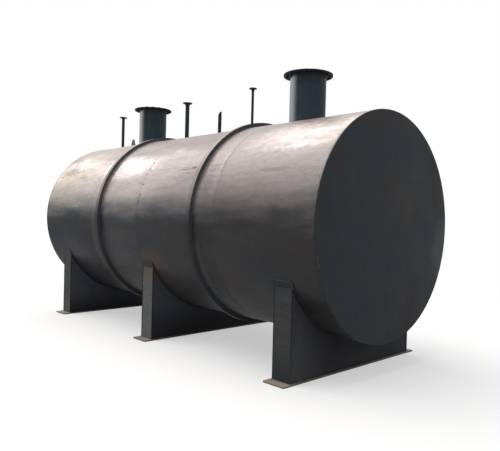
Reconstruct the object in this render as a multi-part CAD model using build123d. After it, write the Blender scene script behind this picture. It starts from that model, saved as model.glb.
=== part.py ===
from build123d import *
import os
from dataclasses import dataclass
from math import acos, atan2, cos, degrees, hypot, radians, sin, sqrt

# A horizontal cylindrical steel tank on three box saddles, in millimetres.
# X runs along the tank, Y across it and Z up. The origin is on the ground,
# below the middle of the tank. The near end is the one at +X, and a station
# is a distance along the tank, measured from the outside of the near end.

# Shell and its flat ends
shell_radius = 1200.0
shell_plate = 8.0
end_plate = 10.0
near_course_length = 1410.0
second_course_length = 1500.0
third_course_length = 1210.0
far_course_length = 1490.0

# Stiffening rings, rolled from steel angle with the outer leg towards -X
near_ring_station = 1750.0
far_ring_station = 3841.0
ring_height = 50.0
ring_outer_leg = 60.0
ring_thickness = 6.0
ring_root_radius = 6.0
ring_toe_radius = 3.0

# Saddles, each a closed box of plates that carries the shell on a curved pad.
# The horn is the top corner of a web, where its side meets the pad, and its
# angle is measured down from the level of the tank's axis.
near_saddle_station = 487.0
middle_saddle_station = 2842.0
far_saddle_station = 5149.0
saddle_horn_angle = 29.8
saddle_throat = 297.0
saddle_depth = 230.0
saddle_plate = 10.0
pad_plate = 10.0
pad_fit_gap = 0.6
pad_margin = 25.0
pad_overrun = 80.0
pad_corner_radius = 40.0
base_plate = 14.0
base_side_margin = 25.0
base_end_margin = 115.0
base_corner_chamfer = 12.0

# Manways: a neck, a loose-bored plate flange, a gasket and a flat cover
near_manway_station = 1150.0
far_manway_station = 4420.0
manway_height = 555.0
manway_neck_radius = 213.0
manway_neck_wall = 8.0
manway_flange_radius = 290.0
manway_flange_plate = 10.0
manway_cover_plate = 8.0
manway_neck_setback = 3.0
manway_bore_clearance = 0.5
manway_bolt_circle = 250.0
manway_bolt_count = 16
manway_bolt_hole = 9.0
gasket_thickness = 3.0
flange_edge_chamfer = 1.5


@dataclass(frozen=True)
class FlangedPipe:
    """Sizes of one upright pipe on the crown and of its weld neck flange."""

    station: float
    radius: float
    wall: float
    flange_radius: float
    bolt_circle: float
    bolt_hole: float
    face_radius: float
    hub_radius: float


# Flanged pipes on the crown, from the near end to the far end
pipes = {
    "near_pipe": FlangedPipe(
        station=2090.0,
        radius=16.85,
        wall=3.2,
        flange_radius=50.0,
        bolt_circle=37.5,
        bolt_hole=5.5,
        face_radius=29.0,
        hub_radius=21.0,
    ),
    "middle_pipe": FlangedPipe(
        station=3500.0,
        radius=30.15,
        wall=3.6,
        flange_radius=70.0,
        bolt_circle=55.0,
        bolt_hole=7.0,
        face_radius=44.0,
        hub_radius=39.0,
    ),
    "far_pipe": FlangedPipe(
        station=5350.0,
        radius=24.15,
        wall=3.2,
        flange_radius=65.0,
        bolt_circle=50.0,
        bolt_hole=7.0,
        face_radius=39.0,
        hub_radius=30.0,
    ),
}
pipe_height = 550.0
pipe_flange_plate = 14.0
pipe_hub_height = 34.0
pipe_bolt_count = 4
raised_face_height = 2.0

# Open vent, a short plain pipe whose top is cut at a slant
vent_station = 2745.0
vent_radius = 24.15
vent_wall = 3.2
vent_height = 326.0
vent_slant_angle = 58.0

# Small pipes are cut square and stand off the crown by their weld's root gap.
# The shell's holes below them are a little wider than the pipes' bores.
root_gap = 0.5
bore_relief = 1.0

# Lifting lug, a rounded triangular plate that stands along the crown
lug_station = 5005.0
lug_length = 140.0
lug_height = 135.0
lug_plate = 16.0
lug_eye_radius = 15.0
lug_crown_radius = 32.0

# Sizes that follow from those above
course_lengths = [near_course_length, second_course_length, third_course_length, far_course_length]
tank_length = sum(course_lengths) + 2 * end_plate
pad_inner_radius = shell_radius + pad_fit_gap
pad_outer_radius = pad_inner_radius + pad_plate
pad_start_angle = saddle_horn_angle - degrees(pad_overrun / pad_outer_radius)
saddle_width = 2 * pad_outer_radius * cos(radians(saddle_horn_angle))
horn_top = -pad_outer_radius * sin(radians(saddle_horn_angle))
base_top = -pad_outer_radius - saddle_throat
axis_height = base_plate - base_top

# Where things stand along the tank
ring_stations = {"near": near_ring_station, "far": far_ring_station}
saddle_stations = {"near": near_saddle_station, "middle": middle_saddle_station, "far": far_saddle_station}
manway_stations = {"near": near_manway_station, "far": far_manway_station}


def x_at(station):
    """X of a station."""
    return tank_length / 2 - station


def ring_sketch(outer, inner):
    """A flat ring between two radii."""
    return Circle(outer) - Circle(inner)


def tube_along(outer, inner, start, end):
    """A tube about the tank's axis between two X positions."""
    section = Plane.YZ.offset(start) * ring_sketch(outer, inner)
    return extrude(section, amount=end - start)


def upright_tube(x, outer, inner, bottom, top):
    """A tube on a vertical axis over the crown line."""
    section = Plane((x, 0, bottom)) * ring_sketch(outer, inner)
    return extrude(section, amount=top - bottom)


def rod_along(radius, x, half_length):
    """A solid rod about the tank's axis, used to cut seats for the shell."""
    section = Plane.YZ.offset(x - half_length) * Circle(radius)
    return extrude(section, amount=2 * half_length)


def seated_on_shell(piece, x, half_length):
    """The part of a piece that lies outside the shell, so it sits on the plate."""
    return piece - rod_along(shell_radius, x, half_length)


def drop_at(radius, reach):
    """Height over the axis of a cylinder of that radius, at that reach to the side."""
    return sqrt(radius**2 - reach**2)


def crown_hole(x, radius):
    """A vertical cutter through the top of the shell."""
    bottom = drop_at(shell_radius - shell_plate, radius) - shell_plate
    top = shell_radius + shell_plate
    return extrude(Plane((x, 0, bottom)) * Circle(radius), amount=top - bottom)


def shell_holes():
    """Cutters for every opening in the crown, as (x, radius, cutter)."""
    wanted = [(station, manway_neck_radius - manway_neck_wall) for station in manway_stations.values()]
    wanted += [(pipe.station, pipe.radius - pipe.wall + bore_relief) for pipe in pipes.values()]
    wanted.append((vent_station, vent_radius - vent_wall + bore_relief))
    return [(x_at(station), radius, crown_hole(x_at(station), radius)) for station, radius in wanted]


def shell_courses():
    """The rolled plates of the shell, butted end to end, with their openings."""
    courses = {}
    holes = shell_holes()
    start = x_at(end_plate)
    for number, length in enumerate(course_lengths, start=1):
        end = start - length
        course = tube_along(shell_radius, shell_radius - shell_plate, end, start)
        for x, radius, cutter in holes:
            if x + radius > end and x - radius < start:
                course -= cutter
        courses[f"shell_course_{number}"] = course
        start = end
    return courses


def end_disc(outside_x, inside_x):
    """One flat end that covers the edge of the shell."""
    section = Plane.YZ.offset(min(outside_x, inside_x)) * Circle(shell_radius)
    return extrude(section, amount=abs(outside_x - inside_x))


def angle_section():
    """The rolled angle's section, its heel at the origin and its toe down."""
    outline = Polyline(
        (0, 0),
        (0, -ring_height),
        (-ring_thickness, -ring_height),
        (-ring_thickness, -ring_thickness),
        (-ring_outer_leg, -ring_thickness),
        (-ring_outer_leg, 0),
        close=True,
    )
    section = make_face(outline)
    root = section.vertices().sort_by_distance((-ring_thickness, -ring_thickness))[0]
    section = fillet(root, ring_root_radius)
    toe = section.vertices().sort_by_distance((-ring_outer_leg, -ring_thickness))[0]
    return fillet(toe, ring_toe_radius)


def stiffening_ring(station):
    """A full ring of angle, standing on the shell by the toe of one leg."""
    heel = Pos(x_at(station), 0, shell_radius + ring_height)
    section = heel * (Plane.XZ * angle_section())
    return revolve(section, axis=Axis.X)


def wear_pad(x):
    """The curved plate between a saddle and the shell, with rounded corners."""
    first = 180 + pad_start_angle
    sweep = 180 - 2 * pad_start_angle
    inner = CenterArc((0, 0), pad_inner_radius, first, sweep)
    outer = CenterArc((0, 0), pad_outer_radius, first, sweep)
    section = make_face([inner, outer, Line(inner @ 0, outer @ 0), Line(inner @ 1, outer @ 1)])
    width = saddle_depth + 2 * pad_margin
    pad = extrude(Plane.YZ.offset(x - width / 2) * section, amount=width)
    corners = pad.edges().filter_by(lambda edge: abs(edge.length - pad_plate) < 0.01)
    return fillet(corners, pad_corner_radius)


def web_sketch():
    """A saddle web: a rectangle whose top is hollowed to the pad."""
    height = horn_top - base_top
    blank = Pos(0, base_top + height / 2) * Rectangle(saddle_width, height)
    return blank - Circle(pad_outer_radius)


def saddle_webs(x):
    """The two broad plates of a saddle, one on each side along X."""
    reach = (saddle_depth - saddle_plate) / 2
    plates = []
    for centre in (x - reach, x + reach):
        plane = Plane.YZ.offset(centre - saddle_plate / 2)
        plates.append(extrude(plane * web_sketch(), amount=saddle_plate))
    return plates


def saddle_end_plates(x):
    """The two narrow upright plates that close a saddle between its webs."""
    depth = saddle_depth - 2 * saddle_plate
    height = horn_top - base_top
    seat = rod_along(pad_outer_radius, x, saddle_depth)
    plates = []
    for side in (-1, 1):
        centre = side * (saddle_width - saddle_plate) / 2
        plate = Pos(x, centre, base_top + height / 2) * Box(depth, saddle_plate, height)
        plates.append(plate - seat)
    return plates


def saddle_base(x):
    """The base plate, wider than the box all round, with clipped corners."""
    length = saddle_depth + 2 * base_side_margin
    width = saddle_width + 2 * base_end_margin
    plate = Pos(x, 0, base_top - base_plate / 2) * Box(length, width, base_plate)
    return chamfer(plate.edges().filter_by(Axis.Z), base_corner_chamfer)


def bolt_holes(x, circle_radius, count, hole_radius, bottom, height):
    """Upright cutters for a bolt circle whose holes straddle the X axis."""
    spots = PolarLocations(circle_radius, count, start_angle=180 / count)
    rounds = Sketch() + [spot * Circle(hole_radius) for spot in spots]
    return extrude(Plane((x, 0, bottom)) * rounds, amount=height)


def eased_disc(x, outer, inner, bottom, height):
    """A plate ring or disc with small chamfers round its rim."""
    face = ring_sketch(outer, inner) if inner else Circle(outer)
    disc = extrude(Plane((x, 0, bottom)) * face, amount=height)
    rims = disc.edges().filter_by(GeomType.CIRCLE).filter_by(lambda edge: abs(edge.radius - outer) < 0.01)
    return chamfer(rims, flange_edge_chamfer)


def manway(name, x):
    """Neck, flange, gasket and cover of one manway."""
    inner = manway_neck_radius - manway_neck_wall
    top = shell_radius + manway_height
    cover_bottom = top - manway_cover_plate
    flange_top = cover_bottom - gasket_thickness
    flange_bottom = flange_top - manway_flange_plate
    foot = drop_at(shell_radius, manway_neck_radius)
    neck = upright_tube(x, manway_neck_radius, inner, foot, flange_top - manway_neck_setback)
    bore = manway_neck_radius + manway_bore_clearance
    flange = eased_disc(x, manway_flange_radius, bore, flange_bottom, manway_flange_plate)
    cover = eased_disc(x, manway_flange_radius, 0, cover_bottom, manway_cover_plate)
    stack = top - flange_bottom
    holes = bolt_holes(x, manway_bolt_circle, manway_bolt_count, manway_bolt_hole, flange_bottom, stack)
    gasket_outer = manway_bolt_circle - manway_bolt_hole
    return {
        f"{name}_neck": seated_on_shell(neck, x, manway_flange_radius),
        f"{name}_flange": flange - holes,
        f"{name}_gasket": upright_tube(x, gasket_outer, inner, flange_top, cover_bottom),
        f"{name}_cover": cover - holes,
    }


def weld_neck_flange(x, bore, pipe):
    """A pipe flange with a tapered hub below and a raised face on top."""
    top = shell_radius + pipe_height
    shoulder = top - raised_face_height
    underside = top - pipe_flange_plate
    outline = Polyline(
        (bore, underside - pipe_hub_height),
        (pipe.radius, underside - pipe_hub_height),
        (pipe.hub_radius, underside),
        (pipe.flange_radius, underside),
        (pipe.flange_radius, shoulder),
        (pipe.face_radius, shoulder),
        (pipe.face_radius, top),
        (bore, top),
        close=True,
    )
    body = Pos(x, 0, 0) * revolve(Plane.XZ * make_face(outline), axis=Axis.Z)
    holes = bolt_holes(x, pipe.bolt_circle, pipe_bolt_count, pipe.bolt_hole, underside, pipe_flange_plate)
    return body - holes


def flanged_pipe(name, pipe):
    """An upright pipe on the crown and the flange at its top."""
    x = x_at(pipe.station)
    bore = pipe.radius - pipe.wall
    stem_top = shell_radius + pipe_height - pipe_flange_plate - pipe_hub_height
    return {
        name: upright_tube(x, pipe.radius, bore, shell_radius + root_gap, stem_top),
        f"{name}_flange": weld_neck_flange(x, bore, pipe),
    }


def vent_pipe():
    """A plain open pipe cut at a slant, with its peak on the +X side."""
    x = x_at(vent_station)
    peak = shell_radius + vent_height
    stem = upright_tube(x, vent_radius, vent_radius - vent_wall, shell_radius + root_gap, peak)
    slant = radians(vent_slant_angle)
    mouth = Plane(origin=(x + vent_radius, 0, peak), x_dir=(0, 1, 0), z_dir=(-sin(slant), 0, cos(slant)))
    return split(stem, bisect_by=mouth, keep=Keep.BOTTOM)


def lifting_lug():
    """A triangular plate with a rounded crown and an eye."""
    eye_height = shell_radius + lug_height - lug_crown_radius
    foot = shell_radius - lug_plate
    half = lug_length / 2
    rise = eye_height - foot
    # Each straight side is tangent to the rounded crown, which touches it in
    # the direction given by this angle above the level.
    lean = acos(lug_crown_radius / hypot(half, rise)) - atan2(rise, half)
    side_x = lug_crown_radius * cos(lean)
    side_z = eye_height + lug_crown_radius * sin(lean)
    crown = ThreePointArc((-side_x, side_z), (0, eye_height + lug_crown_radius), (side_x, side_z))
    left = Line((-half, foot), (-side_x, side_z))
    right = Line((side_x, side_z), (half, foot))
    bottom = Line((half, foot), (-half, foot))
    blank = make_face([crown, left, right, bottom]) - Pos(0, eye_height) * Circle(lug_eye_radius)
    plate = extrude(Plane.XZ * blank, amount=lug_plate / 2, both=True)
    x = x_at(lug_station)
    return seated_on_shell(Pos(x, 0, 0) * plate, x, lug_length)


def saddle(name, x):
    """Pad, webs, end plates and base plate of one saddle."""
    return {
        f"{name}_wear_pad": wear_pad(x),
        f"{name}_webs": saddle_webs(x),
        f"{name}_end_plates": saddle_end_plates(x),
        f"{name}_base_plate": saddle_base(x),
    }


def tank():
    """Every node of the tank by name, about the tank's axis."""
    nodes = shell_courses()
    half = tank_length / 2
    nodes["near_end_plate"] = end_disc(half, half - end_plate)
    nodes["far_end_plate"] = end_disc(-half, end_plate - half)
    for name, station in ring_stations.items():
        nodes[f"{name}_stiffening_ring"] = stiffening_ring(station)
    for name, station in saddle_stations.items():
        nodes.update(saddle(f"{name}_saddle", x_at(station)))
    for name, station in manway_stations.items():
        nodes.update(manway(f"{name}_manway", x_at(station)))
    for name, pipe in pipes.items():
        nodes.update(flanged_pipe(name, pipe))
    nodes["vent_pipe"] = vent_pipe()
    nodes["lifting_lug"] = lifting_lug()
    return nodes


def standing(piece):
    """A piece, or a list of like pieces, lifted so that the ground is at Z = 0."""
    lift = Pos(0, 0, axis_height)
    if isinstance(piece, list):
        return Compound(children=[lift * solid for solid in piece])
    return lift * piece


def main():
    """Write one STEP file for each node."""
    os.makedirs("parts", exist_ok=True)
    for name, piece in tank().items():
        export_step(standing(piece), os.path.join("parts", f"{name}.step"))


main()
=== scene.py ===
"""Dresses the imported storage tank: paint and weather, weld beads, manway bolts, light and camera.

Everything is in metres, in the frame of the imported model. X runs along the tank towards the near
end, Y runs across it and Z is up. An angle round the shell is given in degrees above the level of
the tank's axis, seen from the -Y side, so the crown is at 90.
"""

import logging
import math
from collections.abc import Callable, Sequence
from dataclasses import dataclass, replace
from enum import Enum

import bmesh
import bpy
from mathutils import Matrix, Vector, noise


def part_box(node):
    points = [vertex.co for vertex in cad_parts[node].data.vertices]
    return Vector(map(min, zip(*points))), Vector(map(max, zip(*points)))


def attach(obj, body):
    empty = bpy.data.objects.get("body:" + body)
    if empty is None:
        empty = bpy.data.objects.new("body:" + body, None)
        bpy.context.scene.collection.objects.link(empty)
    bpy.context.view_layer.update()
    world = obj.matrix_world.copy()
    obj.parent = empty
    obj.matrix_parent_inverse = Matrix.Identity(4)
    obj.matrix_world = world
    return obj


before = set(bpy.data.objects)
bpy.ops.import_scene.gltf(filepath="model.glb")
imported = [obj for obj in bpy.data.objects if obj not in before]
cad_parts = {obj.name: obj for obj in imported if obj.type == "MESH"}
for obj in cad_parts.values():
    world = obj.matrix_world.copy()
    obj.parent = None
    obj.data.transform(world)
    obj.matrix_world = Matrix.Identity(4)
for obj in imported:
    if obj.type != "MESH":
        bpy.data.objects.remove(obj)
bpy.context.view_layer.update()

LOG = logging.getLogger("tank")

Colour = tuple[float, float, float]
Node = bpy.types.Node
Socket = bpy.types.NodeSocket
Number = float | Socket
Material = bpy.types.Material
BMesh = bmesh.types.BMesh

TINY = 1e-6
UP = Vector((0.0, 0.0, 1.0))
ALONG = Vector((1.0, 0.0, 0.0))


class Slot(Enum):
    """The record's material slots, which the welds and bolts pass along but nothing reads."""

    SHELL = "shell_paint"
    SADDLE = "saddle_paint"
    FITTING = "fitting_paint"


class Stain(Enum):
    """What a single mark on a plate is made of, or the painted light that it stands for."""

    SMUDGE = "dark smudge"
    RUST = "brown stain"
    # A painted highlight: paler, more metallic paint that stands in for the sky's highlight on the shell.
    PAINTED_HIGHLIGHT = "rubbed, brighter paint"
    # A pale film; beside the stiffening rings it is painted fill light that lightens their shade, and on the
    # near end's +Y rim it is a painted highlight.
    FILM_AND_PAINTED_LIGHT = "pale grey-green film"


STAIN_COLOURS: dict[Stain, Colour] = {
    Stain.SMUDGE: (0.02, 0.02, 0.021),
    Stain.RUST: (0.17, 0.095, 0.06),
    Stain.FILM_AND_PAINTED_LIGHT: (0.115, 0.13, 0.14),
}


class Axis(Enum):
    """The frame's axes, in the order in which a place lists them."""

    X = 0
    Y = 1
    Z = 2


def tinted(colour: Colour, tint: Colour | float) -> Colour:
    """A colour times a tint, or times one number."""
    shares = tint if isinstance(tint, tuple) else (tint,) * 3
    return tuple(part * share for part, share in zip(colour, shares))


class Wiring:
    """Adds nodes to one shader tree and links them."""

    # Sockets of a Mix node that is set to colours.
    MIX_SHARE = 0
    MIX_FIRST = 6
    MIX_SECOND = 7
    MIX_RESULT = 2

    def __init__(self, tree: bpy.types.NodeTree) -> None:
        """Starts on a tree.

        Args:
            tree: The shader tree that gets the nodes.
        """
        self.tree = tree

    def node(self, kind: str, **settings: object) -> Node:
        """Adds a node.

        Args:
            kind: The node's type name.
            **settings: Values for the node's own properties.

        Returns:
            The new node.
        """
        made = self.tree.nodes.new(kind)
        for name, value in settings.items():
            setattr(made, name, value)
        return made

    def put(self, socket: Socket, value: object) -> None:
        """Feeds an input socket.

        Args:
            socket: The input to feed.
            value: Another node's output, or a plain value.
        """
        if isinstance(value, Socket):
            self.tree.links.new(value, socket)
        elif isinstance(value, tuple) and len(value) == 3 and socket.type == "RGBA":
            socket.default_value = (*value, 1.0)
        else:
            socket.default_value = value

    def math(self, operation: str, first: Number, second: Number = 0.0) -> Socket:
        """One sum on plain numbers.

        Args:
            operation: The Math node's operation.
            first: The first value.
            second: The second value, where the operation has one.

        Returns:
            The result's socket.
        """
        made = self.node("ShaderNodeMath", operation=operation)
        self.put(made.inputs[0], first)
        self.put(made.inputs[1], second)
        return made.outputs[0]

    def times(self, first: Number, second: Number) -> Socket:
        """The product of two values."""
        return self.math("MULTIPLY", first, second)

    def plus(self, first: Number, second: Number) -> Socket:
        """The sum of two values."""
        return self.math("ADD", first, second)

    def less(self, first: Number, second: Number) -> Socket:
        """The first value less the second."""
        return self.math("SUBTRACT", first, second)

    def span(
        self,
        value: Number,
        low: Number,
        high: Number,
        start: Number = 0.0,
        end: Number = 1.0,
    ) -> Socket:
        """Eases a value from one range to another, and holds it there at both ends.

        Args:
            value: The value to read.
            low: Where the range begins.
            high: Where the range ends.
            start: The result at its beginning.
            end: The result at its end.

        Returns:
            The result's socket.
        """
        made = self.node("ShaderNodeMapRange", interpolation_type="SMOOTHSTEP")
        names = ("Value", "From Min", "From Max", "To Min", "To Max")
        for name, wanted in zip(names, (value, low, high, start, end)):
            self.put(made.inputs[name], wanted)
        return made.outputs[0]

    def noise(
        self,
        scale: Number,
        factors: tuple[float, float, float] | None = None,
        detail: float = 3.0,
        rough: float = 0.6,
    ) -> Socket:
        """Soft noise between 0 and 1, read at the object's own coordinates.

        Args:
            scale: How many lumps there are to a metre, roughly.
            factors: What X, Y and Z are multiplied by first, where lumps are longer one way.
            detail: How many finer layers it has.
            rough: How strong the finer layers are.

        Returns:
            The noise value's socket.
        """
        place = self.place()
        if factors is not None:
            mapping = self.node("ShaderNodeMapping")
            self.put(mapping.inputs["Vector"], place)
            mapping.inputs["Scale"].default_value = factors
            place = mapping.outputs[0]
        made = self.node("ShaderNodeTexNoise")
        self.put(made.inputs["Vector"], place)
        self.put(made.inputs["Scale"], scale)
        made.inputs["Detail"].default_value = detail
        made.inputs["Roughness"].default_value = rough
        return made.outputs[0]

    def mix(self, share: Number, first: object, second: object) -> Socket:
        """Mixes two colours.

        Args:
            share: How much of the second there is.
            first: The first colour.
            second: The second colour.

        Returns:
            The mixed colour's socket.
        """
        made = self.node("ShaderNodeMix", data_type="RGBA")
        self.put(made.inputs[self.MIX_SHARE], share)
        self.put(made.inputs[self.MIX_FIRST], first)
        self.put(made.inputs[self.MIX_SECOND], second)
        return made.outputs[self.MIX_RESULT]

    def place(self) -> Socket:
        """The object's own coordinates, which are the frame's."""
        return self.node("ShaderNodeTexCoord").outputs["Object"]

    def parts(self, vector: Socket) -> tuple[Socket, ...]:
        """X, Y and Z of a vector.

        Args:
            vector: The vector's socket.

        Returns:
            The three sockets.
        """
        made = self.node("ShaderNodeSeparateXYZ")
        self.put(made.inputs[0], vector)
        return made.outputs[0], made.outputs[1], made.outputs[2]

    def upward(self) -> Socket:
        """How far the surface faces up, from -1 to 1."""
        return self.parts(self.node("ShaderNodeNewGeometry").outputs["Normal"])[2]

    def facing(self, way: Colour) -> Socket:
        """How far the surface faces a fixed direction, from -1 to 1."""
        made = self.node("ShaderNodeVectorMath", operation="DOT_PRODUCT")
        self.put(made.inputs[0], self.node("ShaderNodeNewGeometry").outputs["Normal"])
        made.inputs[1].default_value = way
        return made.outputs["Value"]

    def bump(self, height: Socket, distance: float, under: Socket | None = None) -> Socket:
        """A bumped normal.

        Args:
            height: The height map, from 0 to 1.
            distance: How high a height of 1 stands, in metres.
            under: The normal that it is added to, if there is one.

        Returns:
            The normal's socket.
        """
        made = self.node("ShaderNodeBump")
        made.inputs["Distance"].default_value = distance
        self.put(made.inputs["Height"], height)
        if under is not None:
            self.put(made.inputs["Normal"], under)
        return made.outputs[0]


class Effect:
    """A shader node group with named inputs and outputs, built once and placed in many materials."""

    def __init__(self, name: str, inputs: dict[str, float], outputs: Sequence[str]) -> None:
        """Makes the empty group.

        Args:
            name: The group's name.
            inputs: Its inputs and what each is unless a material says otherwise.
            outputs: The names of its outputs.
        """
        self.tree = bpy.data.node_groups.new(name, "ShaderNodeTree")
        for label, value in inputs.items():
            socket = self.tree.interface.new_socket(label, in_out="INPUT", socket_type="NodeSocketFloat")
            socket.default_value = value
        for label in outputs:
            self.tree.interface.new_socket(label, in_out="OUTPUT", socket_type="NodeSocketFloat")
        self.wiring = Wiring(self.tree)
        self.given = self.wiring.node("NodeGroupInput").outputs
        self.result = self.wiring.node("NodeGroupOutput").inputs

    def read(self, wiring: Wiring, output: str, **values: Number) -> Socket:
        """Places the group in a material.

        Args:
            wiring: The material's wiring.
            output: The output that is wanted.
            **values: Inputs that differ from the usual, with _ for a space in a name.

        Returns:
            That output's socket.
        """
        made = wiring.node("ShaderNodeGroup", node_tree=self.tree)
        for label, value in values.items():
            wiring.put(made.inputs[label.replace("_", " ")], value)
        return made.outputs[output]


class Weather:
    """The effects that the tank's finishes share."""

    def __init__(self) -> None:
        """Builds every group once."""
        self.dust = self._dust()
        self.tone = self._tone()
        self.streaks = self._streaks()
        self.flecks = self._flecks()
        self.grain = self._grain()
        self.waves = self._waves()
        self.splash = self._splash()
        self.band = self._band()
        self.ragged = self._ragged()
        self.mottle = self._mottle()
        self.drift = self._drift()
        self.lift = self._lift()
        self.mark = self._mark()
        self.hue = self._hue()
        self.growth = self._growth()
        self.ripples = self._ripples()

    def _dust(self) -> Effect:
        """Dust that settles where a surface faces up, in patches."""
        effect = Effect("Settled dust", {"Lowest": 0.0, "Highest": 0.8, "Patches": 0.4}, ["Mask"])
        w = effect.wiring
        level = w.span(w.upward(), effect.given["Lowest"], effect.given["Highest"])
        broad = w.noise(1.3, (0.7, 2.0, 2.0), detail=4.0)
        patches = w.span(broad, 0.35, 0.68)
        kept = w.less(1.0, w.times(patches, effect.given["Patches"]))
        w.put(effect.result["Mask"], w.times(level, kept))
        return effect

    def _tone(self) -> Effect:
        """Slow and fine changes of tone, as in paint that was rolled on by hand."""
        effect = Effect("Paint tone", {"Fine": 0.35}, ["Value"])
        w = effect.wiring
        slow = w.noise(1.6, (0.6, 1.4, 1.4), rough=0.55)
        fine = w.noise(1.0, (7.0, 22.0, 22.0), detail=4.0, rough=0.65)
        share = w.less(1.0, effect.given["Fine"])
        w.put(effect.result["Value"], w.plus(w.times(slow, share), w.times(fine, effect.given["Fine"])))
        return effect

    def _streaks(self) -> Effect:
        """Marks that rain has drawn down a surface."""
        effect = Effect("Rain streaks", {"Fineness": 26.0}, ["Mask"])
        w = effect.wiring
        lines = w.noise(effect.given["Fineness"], (1.0, 1.0, 0.045), detail=4.0)
        broken = w.noise(2.1)
        w.put(effect.result["Mask"], w.times(w.span(lines, 0.5, 0.72), w.span(broken, 0.4, 0.62)))
        return effect

    def _flecks(self) -> Effect:
        """Small rust flecks in loose groups."""
        effect = Effect("Rust flecks", {"Scale": 60.0, "Spread": 0.5}, ["Mask"])
        w = effect.wiring
        spots = w.noise(effect.given["Scale"], detail=4.0, rough=0.7)
        groups = w.noise(1.9)
        edge = w.less(0.86, w.times(w.span(groups, 0.42, 0.7), effect.given["Spread"]))
        w.put(effect.result["Mask"], w.span(spots, edge, w.plus(edge, 0.07)))
        return effect

    def _grain(self) -> Effect:
        """The fine relief of thick paint over rolled steel."""
        effect = Effect("Paint grain", {"Scale": 240.0}, ["Height"])
        w = effect.wiring
        peel = w.noise(effect.given["Scale"])
        drag = w.noise(1.0, (8.0, 90.0, 90.0))
        w.put(effect.result["Height"], w.plus(w.times(peel, 0.6), w.times(drag, 0.4)))
        return effect

    def _waves(self) -> Effect:
        """The slow unevenness of a plate that was rolled and knocked about."""
        effect = Effect("Plate waves", {"Scale": 5.0}, ["Height"])
        w = effect.wiring
        swell = w.noise(effect.given["Scale"], (0.32, 0.9, 0.9), detail=2.0, rough=0.45)
        closer = w.times(effect.given["Scale"], 2.6)
        dents = w.noise(closer, (0.9, 1.5, 1.5), detail=2.0, rough=0.5)
        w.put(effect.result["Height"], w.plus(w.times(swell, 0.75), w.times(dents, 0.25)))
        return effect

    def _splash(self) -> Effect:
        """Dirt thrown up from the ground."""
        effect = Effect("Ground splash", {"Top": 0.3}, ["Mask"])
        w = effect.wiring
        height = w.parts(w.place())[Axis.Z.value]
        drops = w.noise(1.0, (9.0, 9.0, 3.0), detail=4.0, rough=0.65)
        ragged = w.plus(height, w.times(drops, -0.2))
        w.put(effect.result["Mask"], w.span(ragged, effect.given["Top"], -0.12))
        return effect

    def _ragged(self) -> Effect:
        """Long smears along the tank and short runs down it, which break up a soft border."""
        effect = Effect("Ragged border", {"Runs": 0.16}, ["Value"])
        w = effect.wiring
        smears = w.noise(1.5, (0.8, 3.4, 3.4), detail=5.0, rough=0.62)
        runs = w.noise(1.0, (7.0, 1.6, 1.6), detail=4.0, rough=0.65)
        share = w.less(1.0, effect.given["Runs"])
        w.put(effect.result["Value"], w.plus(w.times(smears, share), w.times(runs, effect.given["Runs"])))
        return effect

    def _mottle(self) -> Effect:
        """Hand-sized blotches that break up the painted highlights."""
        effect = Effect("Mottle", {"Scale": 9.0, "Edge": 0.5}, ["Mask"])
        w = effect.wiring
        edge = effect.given["Edge"]
        lumps = w.noise(effect.given["Scale"], (0.75, 1.0, 1.0), detail=5.0, rough=0.66)
        w.put(effect.result["Mask"], w.span(lumps, w.plus(edge, -0.16), w.plus(edge, 0.16)))
        return effect

    def _drift(self) -> Effect:
        """Broad areas where the paint has weathered to a browner or a bluer grey."""
        effect = Effect("Colour drift", {"Scale": 1.5}, ["Warm", "Cool"])
        w = effect.wiring
        slow = w.noise(effect.given["Scale"], (0.7, 1.3, 1.3), detail=4.0)
        w.put(effect.result["Warm"], w.span(slow, 0.47, 0.68))
        w.put(effect.result["Cool"], w.span(slow, 0.53, 0.32))
        return effect

    def _lift(self) -> Effect:
        """A tone over one part of a plate, from a place along an axis on to where it is full: painted fill
        light on the saddle webs, and darker towards the foot on the near leg.
        """
        effect = Effect("Painted fill light and plate tone", {"Along": 0.0, "Start": 0.0, "Full": 1.0}, ["Mask"])
        w = effect.wiring
        cloudy = w.noise(1.0, (5.0, 5.0, 1.2), detail=4.0)
        level = w.span(effect.given["Along"], effect.given["Start"], effect.given["Full"])
        w.put(effect.result["Mask"], w.times(level, w.span(cloudy, 0.2, 0.7, 0.75, 1.1)))
        return effect

    def _band(self) -> Effect:
        """Spatter and rust spots beside the two seams at a plate's edges."""
        effect = Effect("Seam spatter", {"Near seam": 0.0, "Far seam": 0.0, "Half width": 0.045}, ["Mask"])
        w = effect.wiring
        along = w.parts(w.place())[Axis.X.value]
        near = w.math("ABSOLUTE", w.less(along, effect.given["Near seam"]))
        far = w.math("ABSOLUTE", w.less(along, effect.given["Far seam"]))
        away = w.math("MINIMUM", near, far)
        close = w.span(away, effect.given["Half width"], 0.0)
        grouped = w.span(w.noise(2.6), 0.4, 0.62, 0.15, 1.0)
        spots = w.span(w.noise(26.0, detail=2.0, rough=0.5), 0.54, 0.64)
        line = w.times(w.span(away, 0.026, 0.006), 0.2)
        w.put(effect.result["Mask"], w.plus(w.times(w.times(close, grouped), spots), line))
        return effect

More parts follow.
